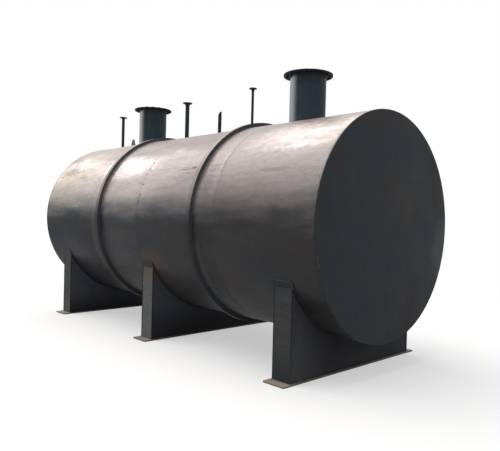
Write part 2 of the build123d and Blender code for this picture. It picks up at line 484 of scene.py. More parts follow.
    def _mark(self) -> Effect:
        """One soft-edged mark, an ellipse in two coordinates that the material gives."""
        effect = Effect(
            "Single mark",
            {
                "Across": 0.0,
                "Up": 0.0,
                "Centre across": 0.0,
                "Centre up": 0.0,
                "Half across": 1.0,
                "Half up": 1.0,
                "Broken": 0.5,
                "Grain": 9.0,
            },
            ["Mask"],
        )
        w = effect.wiring
        given = effect.given
        off = w.less(given["Across"], given["Centre across"])
        across = w.math("DIVIDE", off, given["Half across"])
        up = w.math("DIVIDE", w.less(given["Up"], given["Centre up"]), given["Half up"])
        reach = w.math("SQRT", w.plus(w.times(across, across), w.times(up, up)))
        torn = w.noise(given["Grain"], (0.35, 1.0, 1.0), detail=4.0, rough=0.65)
        ragged = w.plus(reach, w.times(w.less(torn, 0.5), w.times(given["Broken"], 2.4)))
        w.put(effect.result["Mask"], w.span(ragged, 1.0, 0.35))
        return effect

    def _hue(self) -> Effect:
        """Where the painted sheen is a warmer brown."""
        effect = Effect("Bloom hue", {"Scale": 1.7}, ["Mask"])
        w = effect.wiring
        slow = w.noise(effect.given["Scale"], (0.6, 1.5, 1.5))
        w.put(effect.result["Mask"], w.span(slow, 0.35, 0.65))
        return effect

    def _growth(self) -> Effect:
        """The painted sheen's strength, changed from end to end of the tank and towards its crown."""
        effect = Effect(
            "Bloom along the tank",
            {"Bloom": 0.0, "Facing": 0.0, "Near": 1.0, "Far": 1.0, "Crown near": 1.0, "Crown far": 1.0},
            ["Value"],
        )
        w = effect.wiring
        given = effect.given
        along = w.parts(w.place())[Axis.X.value]
        grown = w.times(given["Bloom"], w.span(along, 2.6, -2.6, given["Near"], given["Far"]))
        crown = w.span(along, 2.8, 0.7, given["Crown near"], given["Crown far"])
        w.put(effect.result["Value"], w.times(grown, w.span(given["Facing"], 0.58, 0.80, 1.0, crown)))
        return effect

    def _ripples(self) -> Effect:
        """The ripples of a weld bead, from how far along the bead a point lies."""
        effect = Effect("Weld ripples", {"Run": 0.0, "Pitch": 0.004}, ["Height"])
        w = effect.wiring
        uneven = w.noise(45.0)
        phase = w.plus(w.math("DIVIDE", effect.given["Run"], effect.given["Pitch"]), w.times(uneven, 2.5))
        wave = w.plus(0.5, w.times(w.math("SINE", w.times(phase, math.tau)), 0.5))
        w.put(effect.result["Height"], wave)
        return effect


@dataclass(frozen=True)
class Mark:
    """One mark on a plate: its place, reach and kind. Up is an angle on the shell and Z on a flat end."""

    stain: Stain
    across: float
    up: float
    half_across: float
    half_up: float
    strength: float
    broken: float = 0.5
    grain: float = 9.0
    mottle: float = 0.6


@dataclass(frozen=True)
class Lift:
    """A part of a plate with a tone of its own: its axis, where it starts and where it is full."""

    axis: Axis
    start: float
    full: float
    colour: Colour


@dataclass(frozen=True)
class PaintedSheenSpread:
    """How the painted sheen on the upper side grows along the tank, and how much of it lasts to the crown."""

    near: float = 0.85
    far: float = 2.2
    crown_near: float = 2.1
    crown_far: float = 0.56

    def shade(self, w: Wiring, weather: Weather, bloom: Socket, facing: Socket) -> Socket:
        """The painted sheen's strength, changed along and round the tank.

        Args:
            w: The material's wiring.
            weather: The shared effects.
            bloom: The painted sheen's strength before.
            facing: How far the surface faces up.

        Returns:
            The strength after.
        """
        return weather.growth.read(
            w,
            "Value",
            Bloom=bloom,
            Facing=facing,
            Near=self.near,
            Far=self.far,
            Crown_near=self.crown_near,
            Crown_far=self.crown_far,
        )


@dataclass(frozen=True)
class Glint:
    """Gloss on one side of a round piece, which catches the sky where it turns away from the eye."""

    way: Colour = (-0.689, -0.725, 0.0)
    side: tuple[float, float] = (0.30, 0.75)
    turned: tuple[float, float] = (0.17, 0.50)
    index: float = 3.0
    roughness: float = 0.3

    def dress(self, w: Wiring, shader: Node) -> None:
        """Puts the gloss into a shader's coat.

        Args:
            w: The material's wiring.
            shader: The shader that gets it.
        """
        turned = w.node("ShaderNodeLayerWeight").outputs["Facing"]
        gloss = w.times(w.span(w.facing(self.way), *self.side), w.span(turned, *self.turned))
        w.put(shader.inputs["Coat Weight"], gloss)
        shader.inputs["Coat IOR"].default_value = self.index
        shader.inputs["Coat Roughness"].default_value = self.roughness


@dataclass(frozen=True)
class PlateDetails:
    """What one plate has of its own: marks, the coordinates that they are placed in, and X of its seams."""

    marks: tuple[Mark, ...] = ()
    spread: Callable[[Wiring], tuple[Socket, Socket]] | None = None
    seams: tuple[float, float] | None = None


@dataclass
class Layers:
    """What the layers of a paint add up to so far."""

    colour: Socket
    sheen: Socket
    rough: Socket
    dust: Socket
    # How strong the painted highlight is.
    bare: Number = 0.0


def start_material(name: str) -> tuple[Material, Wiring, Node]:
    """Makes a material.

    Args:
        name: Its name.

    Returns:
        The material, its wiring and its shader.
    """
    material = bpy.data.materials.new(name)
    material.use_nodes = True
    return material, Wiring(material.node_tree), material.node_tree.nodes["Principled BSDF"]


@dataclass(frozen=True)
class Paint:
    """A weathered paint on steel, with dust, streaks, rust and uneven plate, and a painted sheen and painted
    highlights on its upper side.
    """

    name: str
    colour: Colour
    tone_swing: float = 0.35
    tone_range: tuple[float, float] = (0.3, 0.7)
    dust_colour: Colour = (0.40, 0.335, 0.30)
    dust: float = 0.3
    dust_from: float = 0.05
    dust_to: float = 0.8
    dust_patches: float = 0.4
    # The sheen fields paint a pale, partly metallic colour on what faces up: a painted sheen that stands in
    # for the sky's reflection on the upper side.
    sheen: float = 0.0
    sheen_colour: Colour = (0.625, 0.56, 0.54)
    sheen_warm: Colour = (0.64, 0.565, 0.525)
    sheen_cool: Colour = (0.50, 0.55, 0.60)
    sheen_highlight: Colour = (0.745, 0.715, 0.705)
    highlight_share: float = 0.6
    highlight_smoother: float = -0.1
    sheen_from: float = -0.08
    sheen_to: float = 0.44
    sheen_ragged: float = 0.0
    sheen_spread: PaintedSheenSpread | None = None
    roughness: float = 0.5
    roughness_swing: float = 0.12
    specular: float = 0.3
    streak: float = 0.15
    streak_gain: float = 2.2
    rust: float = 0.1
    rust_scale: float = 60.0
    rust_colour: Colour = (0.15, 0.062, 0.028)
    rust_rougher: float = 0.3
    seam_dirt: float = 0.6
    seam_colour: Colour = (0.05, 0.034, 0.026)
    seam_rougher: float = 0.12
    splash: float = 0.0
    splash_top: float = 0.3
    splash_rougher: float = 0.2
    wave: float = 0.0
    wave_scale: float = 5.0
    grain: float = 0.0004
    drift: float = 0.5
    warm: Colour = (1.35, 1.06, 0.86)
    cool: Colour = (0.84, 1.0, 1.24)
    # Painted fill light: faces that lean along the tank are made paler where they sit in shade.
    side: float = 0.0
    side_light_colour: Colour = (0.095, 0.099, 0.108)
    lift: Lift | None = None
    glint: Glint | None = None

    def build(self, weather: Weather, details: PlateDetails = PlateDetails()) -> Material:
        """Makes the material.

        Args:
            weather: The shared effects.
            details: What the plate has of its own.

        Returns:
            The finished material.
        """
        material, w, shader = start_material(self.name)
        tone = weather.tone.read(w, "Value")
        border = w.less(weather.ragged.read(w, "Value"), 0.5)
        facing = w.plus(w.upward(), w.times(border, self.sheen_ragged))
        low, high = self.roughness - self.roughness_swing, self.roughness + self.roughness_swing
        layers = Layers(
            colour=self._first_coat(w, weather, tone),
            sheen=self._painted_sheen(w, weather, tone, facing),
            rough=w.span(tone, *self.tone_range, low, high),
            dust=self._settled(w, weather),
        )
        if details.seams is not None:
            self._add_seams(w, weather, layers, details.seams)
        if details.spread is not None:
            place = details.spread(w)
            for mark in details.marks:
                self._add_mark(w, weather, layers, mark, place)
        layers.colour = w.mix(layers.dust, layers.colour, self.dust_colour)
        # Painted sheen and highlights: a pale, partly metallic colour on the upper side that stands in for
        # the sky's reflection.
        bloom = self._painted_sheen_colour(w, weather, facing, layers.bare)
        layers.colour = w.mix(layers.sheen, layers.colour, bloom)
        if self.splash:
            splash = w.times(weather.splash.read(w, "Mask", Top=self.splash_top), self.splash)
            layers.colour = w.mix(splash, layers.colour, self.dust_colour)
            layers.rough = w.plus(layers.rough, w.times(splash, self.splash_rougher))
        flecks = w.times(weather.flecks.read(w, "Mask", Scale=self.rust_scale), self.rust)
        w.put(shader.inputs["Base Color"], w.mix(flecks, layers.colour, self.rust_colour))
        w.put(shader.inputs["Metallic"], layers.sheen)
        w.put(shader.inputs["Roughness"], w.plus(layers.rough, w.times(flecks, self.rust_rougher)))
        w.put(shader.inputs["Normal"], self.relief(w, weather))
        shader.inputs["Specular IOR Level"].default_value = self.specular
        if self.glint is not None:
            self.glint.dress(w, shader)
        return material

    def _first_coat(self, w: Wiring, weather: Weather, tone: Socket) -> Socket:
        """The paint's own colour, with its tones, painted fill light on faces that lean along the tank, a
        tone over one part of the plate and rain streaks.

        Args:
            w: The material's wiring.
            weather: The shared effects.
            tone: The change of tone over the surface.

        Returns:
            The colour's socket.
        """
        light = tinted(self.colour, 1 + self.tone_swing)
        dark = tinted(self.colour, 1 - self.tone_swing)
        colour = w.mix(w.span(tone, *self.tone_range), dark, light)
        if self.drift:
            for output, tint in (("Warm", self.warm), ("Cool", self.cool)):
                share = w.times(weather.drift.read(w, output), self.drift)
                colour = w.mix(share, colour, tinted(self.colour, tint))
        # Painted fill light on faces that lean along the tank, such as the stiffening rings' webs.
        if self.side:
            leaning = w.math("ABSOLUTE", w.facing(tuple(ALONG)))
            colour = w.mix(w.times(w.span(leaning, 0.6, 0.95), self.side), colour, self.side_light_colour)
        # A tone over one part of the plate: painted fill light on the saddle webs.
        if self.lift is not None:
            along = w.parts(w.place())[self.lift.axis.value]
            lifted = weather.lift.read(w, "Mask", Along=along, Start=self.lift.start, Full=self.lift.full)
            colour = w.mix(lifted, colour, self.lift.colour)
        streak = w.times(weather.streaks.read(w, "Mask"), self.streak)
        return w.mix(streak, colour, tinted(self.colour, self.streak_gain))

    def _settled(self, w: Wiring, weather: Weather) -> Socket:
        """The dust that has settled on what faces up.

        Args:
            w: The material's wiring.
            weather: The shared effects.

        Returns:
            The mask's socket.
        """
        settled = weather.dust.read(
            w,
            "Mask",
            Lowest=self.dust_from,
            Highest=self.dust_to,
            Patches=self.dust_patches,
        )
        return w.times(settled, self.dust)

    def _painted_sheen(self, w: Wiring, weather: Weather, tone: Socket, facing: Socket) -> Socket:
        """How strong the painted sheen on the upper side is.

        Args:
            w: The material's wiring.
            weather: The shared effects.
            tone: The change of tone over the surface.
            facing: How far the surface faces up, with a ragged border.

        Returns:
            The strength's socket.
        """
        sheen = w.times(w.span(facing, self.sheen_from, self.sheen_to), self.sheen)
        sheen = w.times(sheen, w.span(tone, 0.25, 0.75, 0.8, 1.2))
        if self.sheen_spread is None:
            return sheen
        return self.sheen_spread.shade(w, weather, sheen, facing)

    def _painted_sheen_colour(self, w: Wiring, weather: Weather, facing: Socket, bare: Number) -> Socket:
        """The painted sheen's colour: warmer in places, cooler at its lower border and paler under the
        painted highlights.

        Args:
            w: The material's wiring.
            weather: The shared effects.
            facing: How far the surface faces up, with a ragged border.
            bare: How strong the painted highlight is.

        Returns:
            The colour's socket.
        """
        bloom = w.mix(weather.hue.read(w, "Mask"), self.sheen_colour, self.sheen_warm)
        bloom = w.mix(w.span(facing, 0.16, -0.04), bloom, self.sheen_cool)
        return w.mix(w.times(bare, self.highlight_share), bloom, self.sheen_highlight)

    def _add_seams(
        self,
        w: Wiring,
        weather: Weather,
        layers: Layers,
        seams: tuple[float, float],
    ) -> None:
        """Adds the dirt beside a plate's seams.

        Args:
            w: The material's wiring.
            weather: The shared effects.
            layers: The layers so far.
            seams: X of the near and the far seam.
        """
        band = weather.band.read(w, "Mask", Near_seam=seams[0], Far_seam=seams[1])
        dirt = w.times(band, self.seam_dirt)
        layers.colour = w.mix(dirt, layers.colour, self.seam_colour)
        layers.sheen = w.times(layers.sheen, w.less(1.0, dirt))
        layers.rough = w.plus(layers.rough, w.times(band, self.seam_rougher))

    def _add_mark(
        self,
        w: Wiring,
        weather: Weather,
        layers: Layers,
        mark: Mark,
        place: tuple[Socket, Socket],
    ) -> None:
        """Adds one mark.

        Args:
            w: The material's wiring.
            weather: The shared effects.
            layers: The layers so far.
            mark: The mark.
            place: The two coordinates that it is placed in.
        """
        found = weather.mark.read(
            w,
            "Mask",
            Across=place[0],
            Up=place[1],
            Centre_across=mark.across,
            Centre_up=mark.up,
            Half_across=mark.half_across,
            Half_up=mark.half_up,
            Broken=mark.broken,
            Grain=mark.grain,
        )
        mask = w.times(found, mark.strength)
        # A painted highlight: mottled blotches of more metallic, paler and smoother paint that stand in for
        # the sky's highlight.
        if mark.stain is Stain.PAINTED_HIGHLIGHT:
            blotch = weather.mottle.read(w, "Mask", Scale=mark.grain)
            painted_highlight = w.times(mask, w.plus(w.times(blotch, mark.mottle), 1.0 - mark.mottle))
            layers.bare = w.math("MAXIMUM", layers.bare, painted_highlight)
            layers.sheen = w.times(layers.sheen, w.plus(painted_highlight, 1.0))
            layers.rough = w.plus(layers.rough, w.times(painted_highlight, self.highlight_smoother))
            return
        layers.colour = w.mix(mask, layers.colour, STAIN_COLOURS[mark.stain])
        if mark.stain is not Stain.FILM_AND_PAINTED_LIGHT:
            clear = w.less(1.0, mask)
            layers.sheen = w.times(layers.sheen, clear)
            layers.dust = w.times(layers.dust, clear)

    def relief(self, w: Wiring, weather: Weather) -> Socket:
        """The paint's grain over the plate's slow waves.

        Args:
            w: The material's wiring.
            weather: The shared effects.

        Returns:
            The bumped normal's socket.
        """
        grain = w.bump(weather.grain.read(w, "Height"), self.grain)
        if not self.wave:
            return grain
        return w.bump(weather.waves.read(w, "Height", Scale=self.wave_scale), self.wave, grain)


@dataclass(frozen=True)
class WeldPaint(Paint):
    """Paint over a weld bead, whose ripples run along the bead's own length."""

    ripple_pitch: float = 0.004
    ripple: float = 0.0006

    def relief(self, w: Wiring, weather: Weather) -> Socket:
        """The bead's ripples under the paint's grain.

        Args:
            w: The material's wiring.
            weather: The shared effects.

        Returns:
            The bumped normal's socket.
        """
        run = w.parts(w.node("ShaderNodeUVMap", uv_map=Bead.RUN).outputs[0])[0]
        wave = weather.ripples.read(w, "Height", Run=run, Pitch=self.ripple_pitch)
        return w.bump(wave, self.ripple, w.bump(weather.grain.read(w, "Height"), self.grain))


@dataclass(frozen=True)
class BoltSteel:
    """Dark steel of bolts and nuts, painted over and a little rusty."""

    name: str = "bolt_steel"
    colour: Colour = (0.022, 0.025, 0.029)
    rusty: Colour = (0.050, 0.030, 0.020)
    rust: float = 0.6
    dust_colour: Colour = (0.36, 0.32, 0.29)
    dust: float = 0.35
    roughness: tuple[float, float] = (0.50, 0.82)
    metallic: float = 0.05
    specular: float = 0.1
    grain: float = 0.0003

    def build(self, weather: Weather) -> Material:
        """Makes the material.

        Args:
            weather: The shared effects.

        Returns:
            The finished material.
        """
        material, w, shader = start_material(self.name)
        tone = w.noise(70.0, detail=4.0, rough=0.65)
        rust = w.times(w.span(tone, 0.45, 0.7), self.rust)
        dust = w.times(weather.dust.read(w, "Mask"), self.dust)
        bare = w.less(1.0, w.plus(rust, dust))
        colour = w.mix(rust, self.colour, self.rusty)
        w.put(shader.inputs["Base Color"], w.mix(dust, colour, self.dust_colour))
        w.put(shader.inputs["Metallic"], w.times(bare, self.metallic))
        w.put(shader.inputs["Roughness"], w.span(tone, 0.2, 0.8, *self.roughness))
        w.put(shader.inputs["Normal"], w.bump(w.noise(420.0, rough=0.55), self.grain))
        shader.inputs["Specular IOR Level"].default_value = self.specular
        return material


@dataclass(frozen=True)
class Rubber:
    """Pressed sheet rubber of a gasket's edge."""

    name: str = "gasket_rubber"
    colour: Colour = (0.028, 0.028, 0.029)
    bloom_colour: Colour = (0.09, 0.085, 0.08)
    bloom: float = 0.3
    roughness: float = 0.6
    roughness_swing: float = 0.2
    specular: float = 0.3
    grain: float = 0.0002
    grain_scale: float = 600.0

    def build(self, weather: Weather) -> Material:
        """Makes the material.

        Args:
            weather: The shared effects.

        Returns:
            The finished material.
        """
        material, w, shader = start_material(self.name)
        bloom = w.span(w.noise(34.0, detail=4.0), 0.4, 0.75)
        grain = weather.grain.read(w, "Height", Scale=self.grain_scale)
        colour = w.mix(w.times(bloom, self.bloom), self.colour, self.bloom_colour)
        w.put(shader.inputs["Base Color"], colour)
        w.put(shader.inputs["Roughness"], w.plus(self.roughness, w.times(bloom, self.roughness_swing)))
        w.put(shader.inputs["Normal"], w.bump(grain, self.grain))
        shader.inputs["Specular IOR Level"].default_value = self.specular
        return material


@dataclass(frozen=True)
class Bead:
    """Cross-section of a weld bead: an oval, half sunk in the plates that it joins."""

    half_width: float = 0.005
    half_height: float = 0.005
    step: float = 0.02
    least_steps: int = 12
    sides: int = 8
    unevenness: float = 0.14
    lumps: float = 23.0
    fine_lumps: float = 61.0
    fine_share: float = 0.5

    RUN = "run"

    def ring(
        self,
        centre: Vector,
        axis: Vector,
        radius: float,
        start: Vector,
        turn: float,
    ) -> BMesh:
        """A bead on a circle or on a part of one.

        Args:
            centre: The circle's centre.
            axis: The direction that it turns about.
            radius: The circle's radius.
            start: The direction from the centre to where it starts.
            turn: How far it goes, in radians.

        Returns:
            The bead's own mesh.
        """
        made = bmesh.new()
        outward = start.normalized()
        along = axis.normalized()
        section = bmesh.ops.create_circle(made, segments=self.sides, radius=1.0)["verts"]
        shape = Matrix.Diagonal((self.half_height, self.half_width, 1.0, 1.0))
        stand = Matrix((outward, along, outward.cross(along))).transposed().to_4x4()
        place = Matrix.Translation(centre + outward * radius) @ stand @ shape
        bmesh.ops.transform(made, matrix=place, verts=section)
        whole = turn > math.tau - TINY
        if not whole:
            bmesh.ops.contextual_create(made, geom=made.edges[:])
        bmesh.ops.spin(
            made,
            geom=made.verts[:] + made.edges[:] + made.faces[:],
            cent=centre,
            axis=along,
            angle=turn,
            steps=max(self.least_steps, round(radius * turn / self.step)),
            use_merge=whole,
        )

        def run(point: Vector) -> float:
            """How far along the bead a point lies."""
            return self._angle(point - centre, outward, along) * radius

        return self._finish(made, run, radius)

    def straight(self, start: Vector, end: Vector) -> BMesh:
        """A bead on a straight line.

        Args:
            start: Where it starts.
            end: Where it ends.

        Returns:
            The bead's own mesh.
        """
        made = bmesh.new()
        line = end - start
        bmesh.ops.create_cone(
            made,
            cap_ends=True,
            segments=self.sides,
            radius1=self.half_width,
            radius2=self.half_width,
            depth=line.length,
        )
        runs = [edge for edge in made.edges if edge.calc_length() > line.length / 2]
        cuts = max(1, round(line.length / self.step) - 1)
        bmesh.ops.subdivide_edges(made, edges=runs, cuts=cuts, use_grid_fill=True)
        place = Matrix.Translation((start + end) / 2) @ line.to_track_quat("Z", "Y").to_matrix().to_4x4()
        bmesh.ops.transform(made, matrix=place, verts=made.verts)
        ahead = line.normalized()
        return self._finish(made, lambda point: (point - start).dot(ahead), 0.0)

    @staticmethod
    def _angle(reach: Vector, outward: Vector, along: Vector) -> float:
        """The angle of a point about an axis, from 0 to a full turn."""
        return math.atan2(reach.dot(along.cross(outward)), reach.dot(outward)) % math.tau

    def _finish(self, made: BMesh, run_of: Callable[[Vector], float], radius: float) -> BMesh:
        """Makes a bead uneven and writes how far along each corner lies.

        Args:
            made: The bead's mesh.
            run_of: Gives a point's distance along the bead.
            radius: The circle's radius, or 0 for a straight bead.

        Returns:
            The same mesh.
        """
        bmesh.ops.recalc_face_normals(made, faces=made.faces)
        layer = made.loops.layers.uv.new(self.RUN)
        whole = math.tau * radius
        for face in made.faces:
            first = run_of(face.calc_center_median())
            for loop in face.loops:
                run = run_of(loop.vert.co)
                if radius and run - first > whole / 2:
                    run -= whole
                elif radius and first - run > whole / 2:
                    run += whole
                loop[layer].uv = (run, 0.0)
        made.normal_update()
        for vert in made.verts:
            swell = noise.noise(vert.co * self.lumps)
            swell += self.fine_share * noise.noise(vert.co * self.fine_lumps)
            vert.co += vert.normal * (swell * self.unevenness * self.half_width)
        return made

    def frame(self, low: Vector, high: Vector, z: float) -> list[BMesh]:
        """Four straight beads round a rectangle at one height.

        Args:
            low: The rectangle's lowest corner.
            high: Its highest corner.
            z: The height.

        Returns:
            The beads' meshes.
        """
        across = [self.straight(Vector((x, low.y, z)), Vector((x, high.y, z))) for x in (low.x, high.x)]
        along = [self.straight(Vector((low.x, y, z)), Vector((high.x, y, z))) for y in (low.y, high.y)]
        return across + along


def add_object(name: str, data: bpy.types.ID) -> bpy.types.Object:
    """Puts a new object in the scene.

    Args:
        name: Its name.
        data: Its mesh, camera or light.

    Returns:
        The object, at the origin.
    """
    made = bpy.data.objects.new(name, data)
    bpy.context.scene.collection.objects.link(made)
    return made


class Piece:
    """Collects meshes and makes one finished object of them, which rides on the tank."""

    def __init__(self, name: str) -> None:
        """Starts an empty piece.

        Args:
            name: The finished object's name.
        """
        self.name = name
        self.mesh = bpy.data.meshes.new(name)
        self.whole = bmesh.new()

    def add(self, part: BMesh, place: Matrix | None = None) -> None:
        """Adds a mesh to the piece and frees it.

        Args:
            part: The mesh to add.
            place: Where it goes, if it is not in place already.
        """
        if place is not None:
            bmesh.ops.transform(part, matrix=place, verts=part.verts)
        carrier = bpy.data.meshes.new("carrier")
        part.to_mesh(carrier)
        part.free()
        self.whole.from_mesh(carrier)
        bpy.data.meshes.remove(carrier)

    def finish(self, material: Material, slot: Slot, smooth: bool = True) -> bpy.types.Object:
        """Makes the object.

        Args:
            material: What it is made of.
            slot: The record's slot for its finish; not used.
            smooth: Whether its faces are shaded smooth.

        Returns:
            The finished object.
        """
        for face in self.whole.faces:
            face.smooth = smooth
        self.whole.to_mesh(self.mesh)
        self.whole.free()
        made = add_object(self.name, self.mesh)
        self.mesh.materials.append(material)
        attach(made, "root")
        LOG.info("%s: %d faces", self.name, len(self.mesh.polygons))
        return made


def dress_node(node: str, material: Material) -> None:
    """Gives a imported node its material.

    Args:
        node: The node's name.
        material: What it is made of.
    """
    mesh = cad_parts[node].data
    mesh.materials.clear()
    mesh.materials.append(material)
    LOG.info("%s: %s", node, material.name)


@dataclass(frozen=True)
class Cylinder:
    """The shell as a plain shape: its axis height, radius and two ends."""

    axis: float
    radius: float
    near: float
    far: float

    @classmethod
    def of_frame(cls) -> "Cylinder":
        """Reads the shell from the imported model."""
        low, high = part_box("near_end_plate")
        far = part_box("far_end_plate")[0]
        return cls(axis=(low.z + high.z) / 2, radius=(high.z - low.z) / 2, near=high.x, far=far.x)

    def spread(self, w: Wiring) -> tuple[Socket, Socket]:
        """Coordinates on the unrolled shell: X, and degrees above the level of the axis."""
        x, y, z = w.parts(w.place())
        angle = w.math("ARCTAN2", w.less(z, self.axis), w.times(y, -1.0))
        return x, w.math("DEGREES", angle)

    def outward(self, degrees: float) -> Vector:
        """The direction from the axis at an angle round the shell."""
        return Vector((0.0, -math.cos(math.radians(degrees)), math.sin(math.radians(degrees))))

    def angle_at(self, z: float, radius: float) -> float:
        """The angle, in degrees, at which a circle about the axis passes a height on the -Y side."""
        return -math.degrees(math.asin((self.axis - z) / radius))

    def girth(
        self,
        bead: Bead,
        x: float,
        first: float = -90.0,
        last: float = 270.0,
        lift: float = 0.0,
    ) -> BMesh:
        """A bead round the shell.

        Args:
            bead: The bead's section.
            x: Where it lies along the tank.
            first: The angle that it starts at, in degrees.
            last: The angle that it ends at.
            lift: How far outside the shell its centre is.

        Returns:
            The bead's mesh.
        """
        turn = math.radians(last - first)
        centre = Vector((x, 0.0, self.axis))
        return bead.ring(centre, -ALONG, self.radius + lift, self.outward(first), turn)

    def along(
        self,
        bead: Bead,
        degrees: float,
        start: float,
        end: float,
        lift: float = 0.0,
    ) -> BMesh:
        """A straight bead on the shell, along the tank.

        Args:
            bead: The bead's section.
            degrees: Its angle round the shell.
            start: X where it starts.
            end: X where it ends.
            lift: How far outside the shell its centre is.

        Returns:
            The bead's mesh.
        """
        foot = Vector((0.0, 0.0, self.axis)) + self.outward(degrees) * (self.radius + lift)
        return bead.straight(foot + ALONG * start, foot + ALONG * end)

    def settle(self, mesh: BMesh) -> None:
        """Lowers a flat ring on the crown until it follows the shell's curve.

        Args:
            mesh: The ring's mesh, made at the height of the crown.
        """
        for vert in mesh.verts:
            vert.co.z -= self.radius - math.sqrt(self.radius**2 - vert.co.y**2)

    def foot_bead(self, bead: Bead, x: float, radius: float) -> BMesh:
        """The bead between an upright tube and the crown.

        Args:
            bead: The bead's section.
            x: The tube's place along the tank.
            radius: The tube's outer radius.

        Returns:
            The bead's mesh.
        """
        crown = Vector((x, 0.0, self.axis + self.radius))
        made = bead.ring(crown, UP, radius, ALONG, math.tau)
        self.settle(made)
        return made


def across_and_up(w: Wiring) -> tuple[Socket, Socket]:
    """Coordinates on a flat end: Y and Z."""
    _, y, z = w.parts(w.place())
    return y, z


@dataclass(frozen=True)
class Course:
    """What differs from one rolled plate to the next. Its long seam is an angle round the shell."""

    tint: Colour
    # The plate's painted sheen: its strength and its warm colour.
    sheen: float
    sheen_warm: Colour
    roughness: float
    specular: float
    long_seam: float
    marks: tuple[Mark, ...]


@dataclass
class Shell:
    """The rolled plates, the flat ends and the welds between them."""

    cylinder: Cylinder
    weather: Weather
    beads: Material
    courses: dict[str, Course]
    seam_bead: Bead = Bead(half_width=0.010, half_height=0.005, sides=12, unevenness=0.07)
    seam_sunk: float = 0.0034
    end_bead: Bead = Bead(half_width=0.005, half_height=0.0022)
    long_bead: Bead = Bead(half_width=0.009, half_height=0.009, sides=16, unevenness=0.06)
    long_sunk: float = 0.0082

    def dress(self, paint: Paint) -> None:
        """Paints each plate with its own tone, gloss and marks.

        Args:
            paint: The shell's usual paint.
        """
        for number, (node, course) in enumerate(self.courses.items(), start=1):
            low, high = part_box(node)
            own = replace(
                paint,
                name=f"{paint.name}_{number}",
                colour=tinted(paint.colour, course.tint),
                sheen=course.sheen,
                sheen_warm=course.sheen_warm,
                roughness=course.roughness,
                specular=course.specular,
            )
            details = PlateDetails(course.marks, self.cylinder.spread, seams=(high.x, low.x))
            dress_node(node, own.build(self.weather, details))

    def dress_ends(self, paint: Paint, marks: tuple[Mark, ...]) -> None:
        """Paints the flat ends.

        Args:
            paint: Their paint.
            marks: The near end's marks, placed by Y and Z.
        """
        near = PlateDetails(marks, across_and_up)
        dress_node("near_end_plate", paint.build(self.weather, near))
        dress_node("far_end_plate", replace(paint, name="far_end_paint").build(self.weather))

    def weld(self) -> None:
        """Adds the girth seams, the plates' long seams and the welds at the ends."""
        shell = self.cylinder
        seams = Piece("shell_seam_welds")
        plates = [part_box(node) for node in self.courses]
        pad_low, pad_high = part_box("middle_saddle_wear_pad")
        pad_edge = shell.angle_at(pad_high.z, shell.radius)
        for low, _ in plates[:-1]:
            if pad_low.x < low.x < pad_high.x:
                # The middle saddle's pad covers the lower part of this seam.
                seams.add(shell.girth(self.seam_bead, low.x, pad_edge, 180.0 - pad_edge, -self.seam_sunk))
            else:
                seams.add(shell.girth(self.seam_bead, low.x, lift=-self.seam_sunk))
        for (low, high), course in zip(plates, self.courses.values()):
            seams.add(shell.along(self.long_bead, course.long_seam, low.x, high.x, -self.long_sunk))
        for x in (plates[0][1].x, plates[-1][0].x):
            seams.add(shell.girth(self.end_bead, x))
        seams.finish(self.beads, Slot.SHELL)


@dataclass
class StiffeningRing:
    """One ring of rolled angle and the weld at its toe."""

    name: str
    cylinder: Cylinder
    beads: Material
    toe_bead: Bead = Bead(half_width=0.005, half_height=0.005)

    def dress(self, paint: Material) -> None:
        """Paints the ring like the shell."""
        dress_node(f"{self.name}_stiffening_ring", paint)

    def weld(self) -> None:
        """Adds the bead in the corner between the ring's web and the shell."""
        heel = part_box(f"{self.name}_stiffening_ring")[1].x
        piece = Piece(f"{self.name}_stiffening_ring_weld")
        piece.add(self.cylinder.girth(self.toe_bead, heel))
        piece.finish(self.beads, Slot.SHELL)


